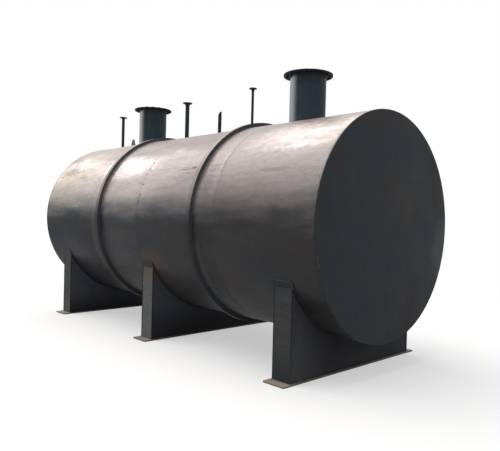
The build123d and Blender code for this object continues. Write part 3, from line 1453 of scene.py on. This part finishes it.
@dataclass
class Saddle:
    """One saddle: pad, box of plates, base and their welds."""

    name: str
    cylinder: Cylinder
    beads: Material
    pad_bead: Bead = Bead(half_width=0.006, half_height=0.006)
    box_bead: Bead = Bead(half_width=0.005, half_height=0.005)
    pad_corner: float = 0.040

    def dress(self, pad: Material, webs: Material, ends: Material, base: Material) -> None:
        """Paints the saddle's plates.

        Args:
            pad: The finish of the pad.
            webs: The finish of the webs.
            ends: The finish of the narrow end plates.
            base: The finish of the base plate.
        """
        finishes = {"wear_pad": pad, "webs": webs, "end_plates": ends, "base_plate": base}
        for part, finish in finishes.items():
            dress_node(f"{self.name}_saddle_{part}", finish)

    def weld(self) -> None:
        """Adds the welds round the pad, along the webs, up the corners and round the foot."""
        piece = Piece(f"{self.name}_saddle_welds")
        self._weld_pad(piece)
        self._weld_box(piece)
        piece.finish(self.beads, Slot.SADDLE)

    def _weld_pad(self, piece: Piece) -> None:
        """Adds the bead round the edge of the pad."""
        shell = self.cylinder
        low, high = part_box(f"{self.name}_saddle_wear_pad")
        top = shell.angle_at(high.z, shell.radius)
        corner = math.degrees(self.pad_corner / shell.radius)
        for x in (low.x, high.x):
            piece.add(shell.girth(self.pad_bead, x, 180.0 - top + corner, 360.0 + top - corner))
        for angle, side in ((top, 1.0), (180.0 - top, -1.0)):
            piece.add(shell.along(self.pad_bead, angle, low.x + self.pad_corner, high.x - self.pad_corner))
            inner = angle - side * corner
            radial = shell.outward(inner)
            rise = shell.outward(inner + side * 90.0)
            for x, way in ((low.x + self.pad_corner, -1.0), (high.x - self.pad_corner, 1.0)):
                centre = Vector((x, 0.0, shell.axis)) + radial * shell.radius
                away = ALONG * way
                piece.add(self.pad_bead.ring(centre, away.cross(rise), self.pad_corner, away, math.pi / 2))

    def _weld_box(self, piece: Piece) -> None:
        """Adds the beads along the webs' tops, up the box's corners and round its foot."""
        shell = self.cylinder
        low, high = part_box(f"{self.name}_saddle_webs")
        seat = shell.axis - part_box(f"{self.name}_saddle_wear_pad")[0].z
        horn = shell.angle_at(high.z, seat)
        for x in (low.x, high.x):
            piece.add(shell.girth(self.box_bead, x, 180.0 - horn, 360.0 + horn, seat - shell.radius))
            for y in (low.y, high.y):
                piece.add(self.box_bead.straight(Vector((x, y, low.z)), Vector((x, y, high.z))))
        for part in self.box_bead.frame(low, high, low.z):
            piece.add(part)


@dataclass(frozen=True)
class HexBolt:
    """A hex bolt with a washer and a thin nut, by its thread size."""

    thread: float = 0.016
    head_height: float = 0.010
    nut_height: float = 0.008
    washer_radius: float = 0.015
    washer: float = 0.003
    washer_sides: int = 20
    shank_sides: int = 14
    tail: float = 0.003
    eased: float = 0.0015
    nut_turn: float = 2.3

    @property
    def across_corners(self) -> float:
        """Width of the head over its corners, for a head 1.5 threads over its flats."""
        return 1.5 * self.thread / math.cos(math.radians(30.0))

    def build(self, top: float, bottom: float, turn: float) -> BMesh:
        """Makes the bolt on the Z axis, its head up.

        Args:
            top: Height of the face under the head.
            bottom: Height of the face over the nut.
            turn: How far the hexagons are turned, in radians.

        Returns:
            The bolt's mesh.
        """
        made = bmesh.new()
        nut_low = bottom - self.washer - self.nut_height
        tail_low = nut_low - self.tail
        self._hexagon(made, top, self.head_height, turn, top + self.head_height)
        self._round(made, self.washer_sides, self.washer_radius, bottom - self.washer, self.washer)
        self._hexagon(made, nut_low, self.nut_height, turn * self.nut_turn, nut_low)
        shank = self._round(made, self.shank_sides, self.thread / 2, tail_low, top - tail_low)
        self._ease(made, shank, tail_low)
        bmesh.ops.recalc_face_normals(made, faces=made.faces)
        return made

    def _round(
        self,
        made: BMesh,
        sides: int,
        radius: float,
        low: float,
        height: float,
    ) -> list[bmesh.types.BMVert]:
        """Adds a prism or cylinder on the Z axis.

        Args:
            made: The mesh that gets it.
            sides: How many sides it has.
            radius: Its radius over the corners.
            low: Where it starts.
            height: How tall it is.

        Returns:
            The new corners.
        """
        return bmesh.ops.create_cone(
            made,
            cap_ends=True,
            segments=sides,
            radius1=radius,
            radius2=radius,
            depth=height,
            matrix=Matrix.Translation(UP * (low + height / 2)),
        )["verts"]

    def _hexagon(self, made: BMesh, low: float, height: float, turn: float, level: float) -> None:
        """Adds a hex head or nut.

        Args:
            made: The mesh that gets it.
            low: Where it starts.
            height: How tall it is.
            turn: How far it is turned.
            level: The height of the corners that are eased.
        """
        verts = self._round(made, 6, self.across_corners / 2, low, height)
        bmesh.ops.rotate(made, verts=verts, cent=(0, 0, 0), matrix=Matrix.Rotation(turn, 3, "Z"))
        self._ease(made, verts, level)

    def _ease(self, made: BMesh, verts: Sequence[bmesh.types.BMVert], level: float) -> None:
        """Bevels the edges that lie at one height.

        Args:
            made: The mesh that they are in.
            verts: The corners of the shape that is eased.
            level: The height of the edges.
        """
        rim = {vert for vert in verts if abs(vert.co.z - level) < TINY}
        edges = {edge for vert in rim for edge in vert.link_edges if edge.other_vert(vert) in rim}
        bmesh.ops.bevel(
            made,
            geom=list(edges),
            offset=self.eased,
            offset_type="OFFSET",
            segments=1,
            profile=0.5,
            affect="EDGES",
            material=-1,
        )


@dataclass
class Manway:
    """One manway: neck, flange, gasket, cover, welds and bolts."""

    name: str
    cylinder: Cylinder
    beads: Material
    bolts: Material
    bolt: HexBolt = HexBolt()
    bolt_count: int = 16
    bolt_circle: float = 0.250
    bolt_turn: float = 0.7
    bolt_turn_swing: float = 0.3
    foot_bead: Bead = Bead(half_width=0.007, half_height=0.007)
    flange_bead: Bead = Bead(half_width=0.005, half_height=0.005)

    def dress(self, neck: Material, paint: Material, rubber: Material) -> None:
        """Paints the manway's steel and sets its gasket.

        Args:
            neck: The finish of the neck.
            paint: The finish of the flange and cover.
            rubber: The gasket's material.
        """
        dress_node(f"{self.name}_manway_neck", neck)
        for part in ("flange", "cover"):
            dress_node(f"{self.name}_manway_{part}", paint)
        dress_node(f"{self.name}_manway_gasket", rubber)

    def weld(self) -> None:
        """Adds the beads at the neck's foot and under the flange."""
        low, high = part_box(f"{self.name}_manway_neck")
        x = (low.x + high.x) / 2
        radius = (high.x - low.x) / 2
        piece = Piece(f"{self.name}_manway_welds")
        piece.add(self.cylinder.foot_bead(self.foot_bead, x, radius))
        under = Vector((x, 0.0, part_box(f"{self.name}_manway_flange")[0].z))
        piece.add(self.flange_bead.ring(under, UP, radius, ALONG, math.tau))
        piece.finish(self.beads, Slot.FITTING)

    def bolt_up(self) -> None:
        """Adds the row of bolts round the cover."""
        cover_low, cover_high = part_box(f"{self.name}_manway_cover")
        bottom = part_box(f"{self.name}_manway_flange")[0].z
        x = (cover_low.x + cover_high.x) / 2
        piece = Piece(f"{self.name}_manway_bolts")
        for number in range(self.bolt_count):
            angle = math.tau * (number + 0.5) / self.bolt_count
            spot = Vector((x + self.bolt_circle * math.cos(angle), self.bolt_circle * math.sin(angle), 0.0))
            uneven = noise.noise(Vector((x, number * 1.7, 0.4)))
            turn = self.bolt_turn * number + self.bolt_turn_swing * uneven
            piece.add(self.bolt.build(cover_high.z, bottom, turn), Matrix.Translation(spot))
        piece.finish(self.bolts, Slot.FITTING, smooth=False)


@dataclass
class CrownFittings:
    """The flanged pipes, the vent and the lifting lug, with their welds."""

    cylinder: Cylinder
    beads: Material
    pipes: tuple[str, ...] = ("near_pipe", "middle_pipe", "far_pipe")
    pipe_bead: Bead = Bead(half_width=0.005, half_height=0.005, step=0.006)
    joint_bead: Bead = Bead(half_width=0.0035, half_height=0.0018, step=0.006)

    def dress(self, paint: Material, lug: Material) -> None:
        """Paints the small fittings.

        Args:
            paint: The finish of the pipes.
            lug: The finish of the lifting lug.
        """
        for pipe in self.pipes:
            dress_node(pipe, paint)
            dress_node(f"{pipe}_flange", paint)
        dress_node("vent_pipe", paint)
        dress_node("lifting_lug", lug)

    def weld(self) -> None:
        """Adds the beads at the fittings' feet and between each pipe and its flange."""
        piece = Piece("crown_fitting_welds")
        for pipe in (*self.pipes, "vent_pipe"):
            low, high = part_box(pipe)
            x = (low.x + high.x) / 2
            radius = (high.y - low.y) / 2
            piece.add(self.cylinder.foot_bead(self.pipe_bead, x, radius))
            if pipe in self.pipes:
                piece.add(self.joint_bead.ring(Vector((x, 0.0, high.z)), UP, radius, ALONG, math.tau))
        for part in self.pipe_bead.frame(*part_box("lifting_lug"), self.cylinder.axis + self.cylinder.radius):
            piece.add(part)
        piece.finish(self.beads, Slot.FITTING)


@dataclass(frozen=True)
class Viewpoint:
    """The camera that the photograph was taken with, as fitted to the tank's outline."""

    place: tuple[float, float, float] = (5.829, -4.840, 1.586)
    yaw: float = 46.458
    pitch: float = -0.856
    roll: float = 1.504
    lens: float = 38.71
    sensor: float = 36.0

    def build(self) -> bpy.types.Object:
        """Makes the scene's camera."""
        yaw, pitch, roll = (math.radians(a) for a in (self.yaw, self.pitch, self.roll))
        ahead = Vector((-math.sin(yaw) * math.cos(pitch), math.cos(yaw) * math.cos(pitch), math.sin(pitch)))
        level = ahead.cross(UP).normalized()
        upright = level.cross(ahead)
        right = math.cos(roll) * level + math.sin(roll) * upright
        up = -math.sin(roll) * level + math.cos(roll) * upright
        data = bpy.data.cameras.new("viewpoint")
        data.lens = self.lens
        data.sensor_width = self.sensor
        camera = add_object("viewpoint", data)
        turn = Matrix((right, up, -ahead)).transposed().to_4x4()
        camera.matrix_world = Matrix.Translation(self.place) @ turn
        bpy.context.scene.camera = camera
        return camera


@dataclass(frozen=True)
class Studio:
    """A pale floor, a white backdrop, one broad soft light and an even fill."""

    light_from: tuple[float, float, float] = (-0.38, -0.14, 0.914)
    light_spread: float = 62.0
    light_strength: float = 2.6
    light_colour: Colour = (1.0, 0.95, 0.915)
    fill: float = 0.5
    fill_colour: Colour = (0.95, 0.98, 1.0)
    floor_reach: float = 60.0
    floor_shown: float = 0.93
    floor_bounce: float = 0.25
    floor_glow: float = 0.5
    fade_from: float = 3.2
    fade_to: float = 8.5

    def build(self) -> None:
        """Makes the light, the fill and the floor."""
        self._light()
        self._world()
        self._floor()
        bpy.context.scene.view_settings.view_transform = "Standard"

    def _light(self) -> None:
        """The broad light, from above and behind the far end."""
        data = bpy.data.lights.new("softbox", "SUN")
        data.energy = self.light_strength
        data.angle = math.radians(self.light_spread)
        data.color = self.light_colour
        lamp = add_object("softbox", data)
        lamp.rotation_mode = "QUATERNION"
        lamp.rotation_quaternion = Vector(self.light_from).to_track_quat("Z", "Y")

    def _shown(self, w: Wiring) -> Socket:
        """1 where the camera sees a surface, in a reflection or through glass too."""
        path = w.node("ShaderNodeLightPath")
        seen = w.math("MAXIMUM", path.outputs["Is Camera Ray"], path.outputs["Is Glossy Ray"])
        return w.math("MAXIMUM", seen, path.outputs["Is Transmission Ray"])

    def _world(self) -> None:
        """White to the camera, and an even fill for the light on the tank."""
        world = bpy.data.worlds.new("backdrop")
        bpy.context.scene.world = world
        world.use_nodes = True
        w = Wiring(world.node_tree)
        back = world.node_tree.nodes["Background"]
        shown = self._shown(w)
        w.put(back.inputs["Color"], w.mix(shown, self.fill_colour, (1.0, 1.0, 1.0)))
        w.put(back.inputs["Strength"], w.span(shown, 0.0, 1.0, self.fill, 1.0))

    def _floor(self) -> None:
        """A plain pale floor that keeps the tank's shadow."""
        made = bmesh.new()
        bmesh.ops.create_grid(made, x_segments=1, y_segments=1, size=self.floor_reach)
        mesh = bpy.data.meshes.new("floor")
        made.to_mesh(mesh)
        made.free()
        floor = add_object("floor", mesh)
        material, w, shader = start_material("pale_floor")
        shown = self._shown(w)
        bounce = (self.floor_bounce,) * 3
        pale = (self.floor_shown,) * 3
        w.put(shader.inputs["Base Color"], w.mix(shown, bounce, pale))
        shader.inputs["Roughness"].default_value = 1.0
        shader.inputs["Specular IOR Level"].default_value = 0.0
        along, across, _ = w.parts(w.place())
        reach = w.math("SQRT", w.plus(w.times(along, along), w.times(across, across)))
        white = w.node("ShaderNodeEmission")
        blend = w.node("ShaderNodeMixShader")
        faded = w.span(reach, self.fade_from, self.fade_to, self.floor_glow, 1.0)
        w.put(blend.inputs[0], w.times(shown, faded))
        w.put(blend.inputs[1], shader.outputs[0])
        w.put(blend.inputs[2], white.outputs[0])
        output = next(node for node in material.node_tree.nodes if node.type == "OUTPUT_MATERIAL")
        w.put(output.inputs["Surface"], blend.outputs[0])
        mesh.materials.append(material)


SEAM_SPOTS = tuple(
    Mark(Stain.SMUDGE, -0.095, angle, 0.03, 0.8, 0.8, broken=0.4, grain=30.0)
    for angle in (37.4, 33.0, 28.9, 22.0, 15.6)
)
# A painted highlight across the seam between the two middle plates.
SEAM_SHINE = Mark(Stain.PAINTED_HIGHLIGHT, -0.64, 37.0, 0.90, 12.5, 0.75, broken=0.2, mottle=0.35)
COURSES = {
    "shell_course_1": Course(
        tint=(0.94, 0.94, 0.94),
        sheen=0.40,
        sheen_warm=(0.65, 0.57, 0.53),
        roughness=0.44,
        specular=0.14,
        long_seam=148.0,
        marks=(
            Mark(Stain.SMUDGE, 2.43, 5.5, 0.36, 5.0, 0.4, broken=1.0, grain=7.0),
            Mark(Stain.SMUDGE, 1.85, -1.0, 0.42, 3.5, 0.6, broken=0.8, grain=6.0),
            # Painted highlights on the near plate's upper side.
            Mark(Stain.PAINTED_HIGHLIGHT, 2.15, 46.0, 0.80, 19.0, 0.30, broken=0.5, grain=15.0, mottle=0.9),
            Mark(Stain.PAINTED_HIGHLIGHT, 2.55, 60.0, 0.50, 10.0, 0.30, broken=0.5, grain=20.0, mottle=0.8),
            Mark(Stain.RUST, 2.45, 68.0, 0.62, 11.0, 0.40, broken=1.4, grain=24.0),
            Mark(Stain.RUST, 1.80, 66.0, 0.50, 9.0, 0.30, broken=1.3, grain=20.0),
            Mark(Stain.SMUDGE, 2.15, 27.0, 0.30, 1.4, 0.16, broken=0.8, grain=9.0),
        ),
    ),
    "shell_course_2": Course(
        tint=(0.95, 0.97, 1.00),
        sheen=0.45,
        sheen_warm=(0.64, 0.56, 0.545),
        roughness=0.47,
        specular=0.12,
        long_seam=32.0,
        marks=(
            Mark(Stain.RUST, 0.86, 31.6, 0.06, 1.4, 0.6, broken=0.5, grain=24.0),
            Mark(Stain.SMUDGE, 0.66, 30.6, 0.26, 0.6, 0.4, broken=1.0, grain=20.0),
            Mark(Stain.SMUDGE, 0.80, 28.0, 0.16, 0.5, 0.3, broken=1.0, grain=20.0),
            Mark(Stain.RUST, 0.10, -25.0, 0.50, 9.0, 0.24, broken=0.8, grain=4.0),
            Mark(Stain.RUST, 1.23, 16.0, 0.12, 17.0, 0.2, broken=1.3, grain=22.0),
            # A painted highlight along the seam.
            Mark(Stain.PAINTED_HIGHLIGHT, 1.36, 32.0, 0.05, 14.0, 0.14, broken=0.6, grain=12.0),
            SEAM_SHINE,
            # Painted fill light: a pale band beside the near stiffening ring that lightens its shade low on
            # the shell.
            Mark(Stain.FILM_AND_PAINTED_LIGHT, 1.10, -34.0, 0.10, 36.0, 0.6, broken=0.3, grain=10.0),
            *SEAM_SPOTS,
        ),
    ),
    "shell_course_3": Course(
        tint=(0.93, 0.95, 1.00),
        sheen=0.42,
        sheen_warm=(0.64, 0.57, 0.525),
        roughness=0.42,
        specular=0.11,
        long_seam=140.0,
        marks=(
            SEAM_SHINE,
            Mark(Stain.RUST, -0.45, -12.0, 0.55, 10.0, 0.16, broken=0.8, grain=3.0),
            # Painted fill light beside the far stiffening ring, low on the shell.
            Mark(Stain.FILM_AND_PAINTED_LIGHT, -0.99, -34.0, 0.10, 36.0, 0.6, broken=0.3, grain=10.0),
            *SEAM_SPOTS,
        ),
    ),
    "shell_course_4": Course(
        tint=(0.78, 0.83, 0.94),
        sheen=0.41,
        sheen_warm=(0.65, 0.585, 0.50),
        roughness=0.46,
        specular=0.07,
        long_seam=152.0,
        marks=(
            # A painted highlight on the far plate's upper side.
            Mark(Stain.PAINTED_HIGHLIGHT, -2.1, 46.0, 0.65, 15.0, 0.3, broken=0.5, grain=14.0, mottle=0.8),
            Mark(Stain.RUST, -2.42, 36.0, 0.36, 5.5, 0.34, broken=0.9, grain=16.0),
            Mark(Stain.RUST, -1.88, 31.0, 0.16, 3.5, 0.2, broken=0.9, grain=16.0),
        ),
    ),
}
END_MARKS = (
    # A painted highlight along the end's +Y rim.
    Mark(Stain.FILM_AND_PAINTED_LIGHT, 1.22, 1.24, 0.42, 0.47, 0.75, broken=0.15, grain=4.0),
    Mark(Stain.SMUDGE, 0.62, 2.00, 0.42, 0.16, 0.35, broken=1.0, grain=6.0),
    Mark(Stain.SMUDGE, 0.84, 2.10, 0.26, 0.34, 0.3, broken=0.6, grain=5.0),
    Mark(Stain.SMUDGE, 0.12, 0.64, 0.90, 0.48, 0.34, broken=0.6, grain=4.0),
    Mark(Stain.RUST, 0.30, 1.75, 0.40, 0.28, 0.10, broken=1.0, grain=5.0),
    Mark(Stain.FILM_AND_PAINTED_LIGHT, -1.145, 1.235, 0.018, 0.04, 0.35, broken=0.6, grain=30.0),
    Mark(Stain.FILM_AND_PAINTED_LIGHT, -1.127, 1.170, 0.018, 0.03, 0.5, broken=0.6, grain=30.0),
)

SHELL_PAINT = Paint(
    "shell_paint",
    (0.040, 0.041, 0.044),
    specular=0.14,
    wave=0.013,
    sheen_ragged=0.45,
    sheen_spread=PaintedSheenSpread(),
    drift=0.7,
)
RING_PAINT = replace(
    SHELL_PAINT,
    name="ring_paint",
    sheen=0.42,
    sheen_from=-0.05,
    sheen_to=0.36,
    sheen_ragged=0.2,
    sheen_spread=None,
    specular=0.09,
    wave=0.0,
    # Painted fill light on the ring's faces that lean along the tank.
    side=0.85,
)
PAD_PAINT = replace(RING_PAINT, name="pad_paint", sheen=0.12, side=0.0)
END_PAINT = Paint(
    "end_paint",
    (0.038, 0.0435, 0.0495),
    specular=0.12,
    roughness=0.6,
    dust=0.2,
    wave=0.004,
    drift=0.3,
)
WEB_PAINT = Paint(
    "saddle_web_paint",
    (0.020, 0.023, 0.030),
    specular=0.1,
    roughness=0.6,
    splash=0.04,
)
# Painted fill light: the webs are paler towards the legs and towards their tops, where the shell's shade
# falls on them.
WEB_PAINTED_FILL_LIGHT = {
    "near": Lift(Axis.Y, -0.30, -1.15, (0.082, 0.085, 0.094)),
    "middle": Lift(Axis.Z, 0.06, 0.52, (0.105, 0.112, 0.132)),
    "far": Lift(Axis.Z, 0.02, 0.42, (0.115, 0.125, 0.150)),
}
LEG_PAINT = Paint("saddle_leg_paint", (0.062, 0.063, 0.066), specular=0.12, roughness=0.6)
LEG_PAINTS = {
    # The near leg is darker towards its foot.
    "near": replace(LEG_PAINT, lift=Lift(Axis.Z, 0.50, 0.05, (0.036, 0.042, 0.044))),
    "middle": replace(LEG_PAINT, name="middle_leg_paint", colour=(0.125, 0.130, 0.127), splash=0.1),
    "far": replace(LEG_PAINT, name="far_leg_paint", colour=(0.064, 0.068, 0.063), splash=0.1),
}
BASE_PAINT = Paint(
    "base_steel",
    (0.20, 0.165, 0.148),
    dust=0.7,
    dust_patches=0.5,
    rust=0.4,
    roughness=0.7,
    grain=0.0006,
)
FITTING_PAINT = Paint(
    "fitting_paint",
    (0.028, 0.040, 0.054),
    tone_swing=0.2,
    specular=0.1,
    roughness=0.5,
    dust=0.2,
    rust=0.03,
    grain=0.00015,
    drift=0.2,
)
NECK_PAINT = replace(
    FITTING_PAINT,
    name="neck_paint",
    colour=(0.036, 0.052, 0.070),
    tone_swing=0.3,
    dust=0.3,
    streak=0.3,
    rust=0.12,
    roughness_swing=0.18,
    glint=Glint(),
)
RIM_PAINT = replace(
    FITTING_PAINT,
    name="rim_paint",
    colour=(0.022, 0.027, 0.032),
    specular=0.04,
    roughness=0.6,
)
LUG_PAINT = replace(FITTING_PAINT, name="lug_paint", colour=(0.190, 0.190, 0.178), drift=0.0)
SHELL_WELD = WeldPaint(
    "shell_weld",
    (0.040, 0.041, 0.044),
    specular=0.14,
    # The welds carry the shell's painted sheen.
    sheen=0.42,
    sheen_ragged=0.45,
    sheen_spread=PaintedSheenSpread(),
    rust=0.2,
    drift=0.7,
)
FITTING_WELD = replace(
    SHELL_WELD,
    name="fitting_weld",
    colour=(0.042, 0.046, 0.052),
    sheen=0.06,
    sheen_spread=None,
)
SADDLE_WELD = replace(
    FITTING_WELD,
    name="saddle_weld",
    colour=(0.030, 0.032, 0.036),
    dust=0.1,
    dust_colour=(0.22, 0.21, 0.205),
    sheen=0.02,
    specular=0.08,
)


def main() -> None:
    """Builds the studio and every sub-assembly in order."""
    logging.basicConfig(level=logging.INFO, format="%(name)s %(message)s")
    Viewpoint().build()
    Studio().build()
    weather = Weather()
    tank = Cylinder.of_frame()
    shell_weld = SHELL_WELD.build(weather)
    saddle_weld = SADDLE_WELD.build(weather)
    fitting_weld = FITTING_WELD.build(weather)

    shell = Shell(tank, weather, shell_weld, COURSES)
    shell.dress(SHELL_PAINT)
    shell.dress_ends(END_PAINT, END_MARKS)
    shell.weld()

    ring_finish = RING_PAINT.build(weather)
    for name in ("near", "far"):
        ring = StiffeningRing(name, tank, shell_weld)
        ring.dress(ring_finish)
        ring.weld()

    pad_finish = PAD_PAINT.build(weather)
    base_finish = BASE_PAINT.build(weather)
    for name, lift in WEB_PAINTED_FILL_LIGHT.items():
        saddle = Saddle(name, tank, saddle_weld)
        webs = replace(WEB_PAINT, name=f"{name}_web_paint", lift=lift)
        saddle.dress(pad_finish, webs.build(weather), LEG_PAINTS[name].build(weather), base_finish)
        saddle.weld()

    neck_finish = NECK_PAINT.build(weather)
    rim_finish = RIM_PAINT.build(weather)
    rubber = Rubber().build(weather)
    bolt_steel = BoltSteel().build(weather)
    for name in ("near", "far"):
        manway = Manway(name, tank, fitting_weld, bolt_steel)
        manway.dress(neck_finish, rim_finish, rubber)
        manway.weld()
        manway.bolt_up()

    fittings = CrownFittings(tank, fitting_weld)
    fittings.dress(FITTING_PAINT.build(weather), LUG_PAINT.build(weather))
    fittings.weld()


if __name__ == "__main__":
    main()
